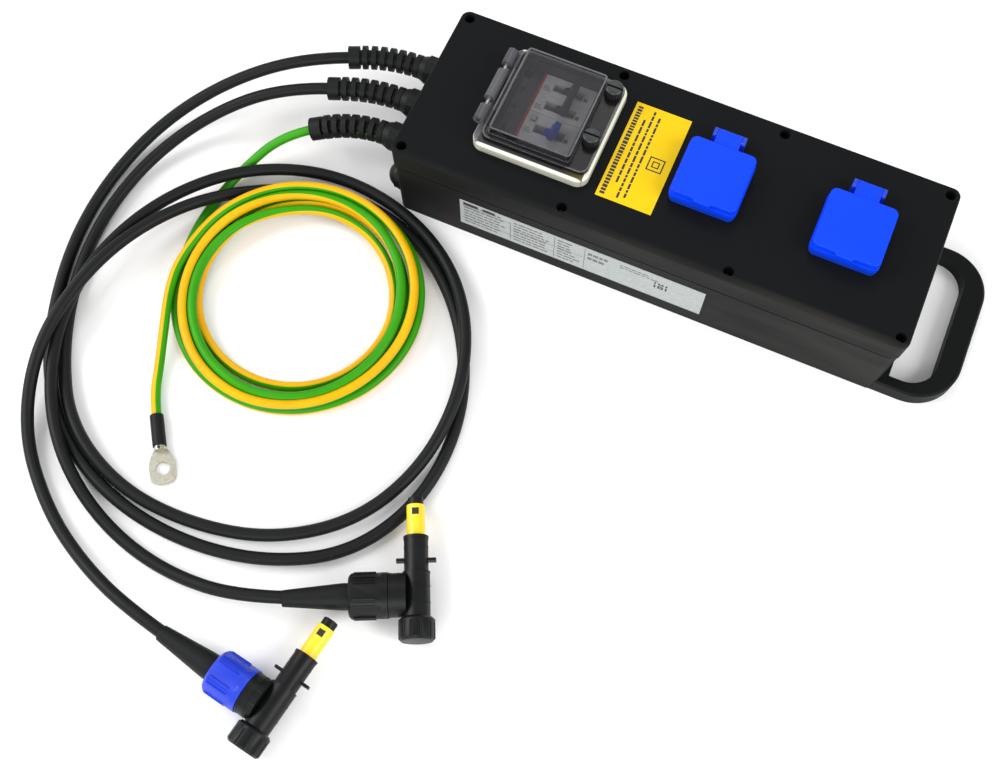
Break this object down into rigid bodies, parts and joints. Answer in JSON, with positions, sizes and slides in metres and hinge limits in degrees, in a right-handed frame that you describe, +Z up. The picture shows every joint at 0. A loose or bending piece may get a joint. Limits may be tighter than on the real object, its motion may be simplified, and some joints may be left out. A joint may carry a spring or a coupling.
{
  "type": "portable power distribution box",
  "caption": "Low black enclosure with carry handle, breaker window, two blue flap-lid socket outlets, and two plug-ended cables and a coiled earth lead leaving one end",
  "frame": {"origin": "centre of the enclosure's underside, on the floor plane", "axes": "+Z up, +X along the enclosure towards the carry handle, +Y towards the socket lids' hinges"},
  "size_m": [0.6725, 0.5629, 0.1051],
  "materials": {
    "black_plastic": "satin",
    "blue_plastic": "gloss",
    "cream_plastic": "satin",
    "smoke_clear": "gloss",
    "device_grey": "satin",
    "toggle_black": "satin",
    "toggle_blue": "satin",
    "button_grey": "satin",
    "steel": "satin",
    "brass": "satin",
    "yellow_label": "satin",
    "silver_label": "satin",
    "black_rubber": "matte",
    "cable_jacket": "matte",
    "earth_jacket": "satin",
    "tinned_copper": "satin",
    "ring_blue": "satin",
    "sleeve_yellow": "satin",
    "wire_brown": "satin",
    "wire_blue": "satin"
  },
  "bodies": {
    "box": {"tray": "black_plastic", "cover": "black_plastic", "cover_gasket": "black_rubber", "cover_screws": "steel", "cover_inserts": "brass", "warning_label": "yellow_label", "rating_label": "silver_label", "carry_handle": "black_plastic", "handle_bolts": "steel", "din_rail": "steel", "device_screws": "steel", "breaker_poles": "device_grey", "rcd_module": "device_grey", "window_frame": "cream_plastic", "window_seal": "black_rubber", "hinge_pins": "steel", "socket_1_body": "blue_plastic", "socket_2_body": "blue_plastic", "socket_terminal_blocks": "blue_plastic", "socket_lid_springs": "steel", "socket_contacts": "brass", "socket_screws": "steel", "gland_bodies": "black_plastic", "gland_seals": "black_rubber", "gland_locknuts": "black_plastic", "gland_1_spiral_nut": "black_plastic", "gland_2_spiral_nut": "black_plastic", "gland_3_spiral_nut": "black_plastic", "blanking_plug": "black_plastic", "cable_1": "cable_jacket", "cable_2": "cable_jacket", "earth_lead_in": "earth_jacket", "earth_lead_out": "earth_jacket", "earth_coil": "earth_jacket", "lug_sleeve": "black_rubber", "earth_lug": "tinned_copper", "connector_1_body": "black_plastic", "connector_2_body": "black_plastic", "connector_boots": "black_rubber", "connector_sleeves": "sleeve_yellow", "connector_tips": "black_plastic", "wire_line": "wire_brown", "wire_neutral": "wire_blue", "wire_earth": "earth_jacket", "earth_terminal": "brass"},
    "flap": {"window_flap": "smoke_clear"},
    "flap_screw_1": {"window_screw_1": "toggle_black"},
    "flap_screw_2": {"window_screw_2": "toggle_black"},
    "breaker_toggle": {"breaker_toggles": "toggle_black"},
    "rcd_lever": {"rcd_toggle": "toggle_blue"},
    "test_key": {"test_button": "button_grey"},
    "socket_1_cap": {"socket_1_lid": "blue_plastic", "socket_1_lid_seal": "black_rubber"},
    "socket_2_cap": {"socket_2_lid": "blue_plastic", "socket_2_lid_seal": "black_rubber"},
    "plug_1_ring": {"connector_1_ring": "ring_blue"},
    "plug_2_ring": {"connector_2_ring": "toggle_black"},
    "plug_1_knob": {"connector_1_knob": "black_plastic"},
    "plug_2_knob": {"connector_2_knob": "black_plastic"}
  },
  "joints": [
    {"name": "window_flap_hinge", "type": "hinge", "parent": "box", "child": "flap", "pos_m": [-0.146, 0.0065, 0.0982], "axis": [0, -1, 0], "range_deg": [0, 110]},
    {"name": "window_screw_1_turn", "type": "hinge", "parent": "flap", "child": "flap_screw_1", "pos_m": [-0.064, -0.009, 0.0971], "axis": [0, 0, 1], "continuous": true},
    {"name": "window_screw_2_turn", "type": "hinge", "parent": "flap", "child": "flap_screw_2", "pos_m": [-0.064, 0.036, 0.0971], "axis": [0, 0, 1], "continuous": true},
    {"name": "breaker_toggle_pivot", "type": "hinge", "parent": "box", "child": "breaker_toggle", "pos_m": [-0.0975, 0.02315, 0.0805], "axis": [0, -1, 0], "range_deg": [0, 52]},
    {"name": "rcd_lever_pivot", "type": "hinge", "parent": "box", "child": "rcd_lever", "pos_m": [-0.0975, -0.0075, 0.0805], "axis": [0, -1, 0], "range_deg": [0, 52]},
    {"name": "test_key_press", "type": "slide", "parent": "box", "child": "test_key", "axis": [0, 0, -1], "range_m": [0, 0.0015], "stiffness_N_per_m": 500},
    {"name": "socket_1_lid_hinge", "type": "hinge", "parent": "box", "child": "socket_1_cap", "pos_m": [0.0282, 0.0365, 0.0938], "axis": [-1, 0, 0], "range_deg": [0, 100], "stiffness_Nm_per_rad": 0.05},
    {"name": "socket_2_lid_hinge", "type": "hinge", "parent": "box", "child": "socket_2_cap", "pos_m": [0.1355, 0.0365, 0.0938], "axis": [-1, 0, 0], "range_deg": [0, 100], "stiffness_Nm_per_rad": 0.05},
    {"name": "plug_1_ring_turn", "type": "hinge", "parent": "box", "child": "plug_1_ring", "pos_m": [-0.14056, -0.45362, 0.0164], "axis": [-0.9866, 0.1629, 0], "continuous": true},
    {"name": "plug_1_knob_turn", "type": "hinge", "parent": "box", "child": "plug_1_knob", "pos_m": [-0.11191, -0.48268, 0.0164], "axis": [-0.1629, -0.9866, 0], "continuous": true},
    {"name": "plug_2_ring_turn", "type": "hinge", "parent": "box", "child": "plug_2_ring", "pos_m": [-0.08042, -0.36393, 0.0164], "axis": [-0.9036, -0.4283, 0], "continuous": true},
    {"name": "plug_2_knob_turn", "type": "hinge", "parent": "box", "child": "plug_2_knob", "pos_m": [-0.04032, -0.37149, 0.0164], "axis": [0.4283, -0.9036, 0], "continuous": true}
  ]
}
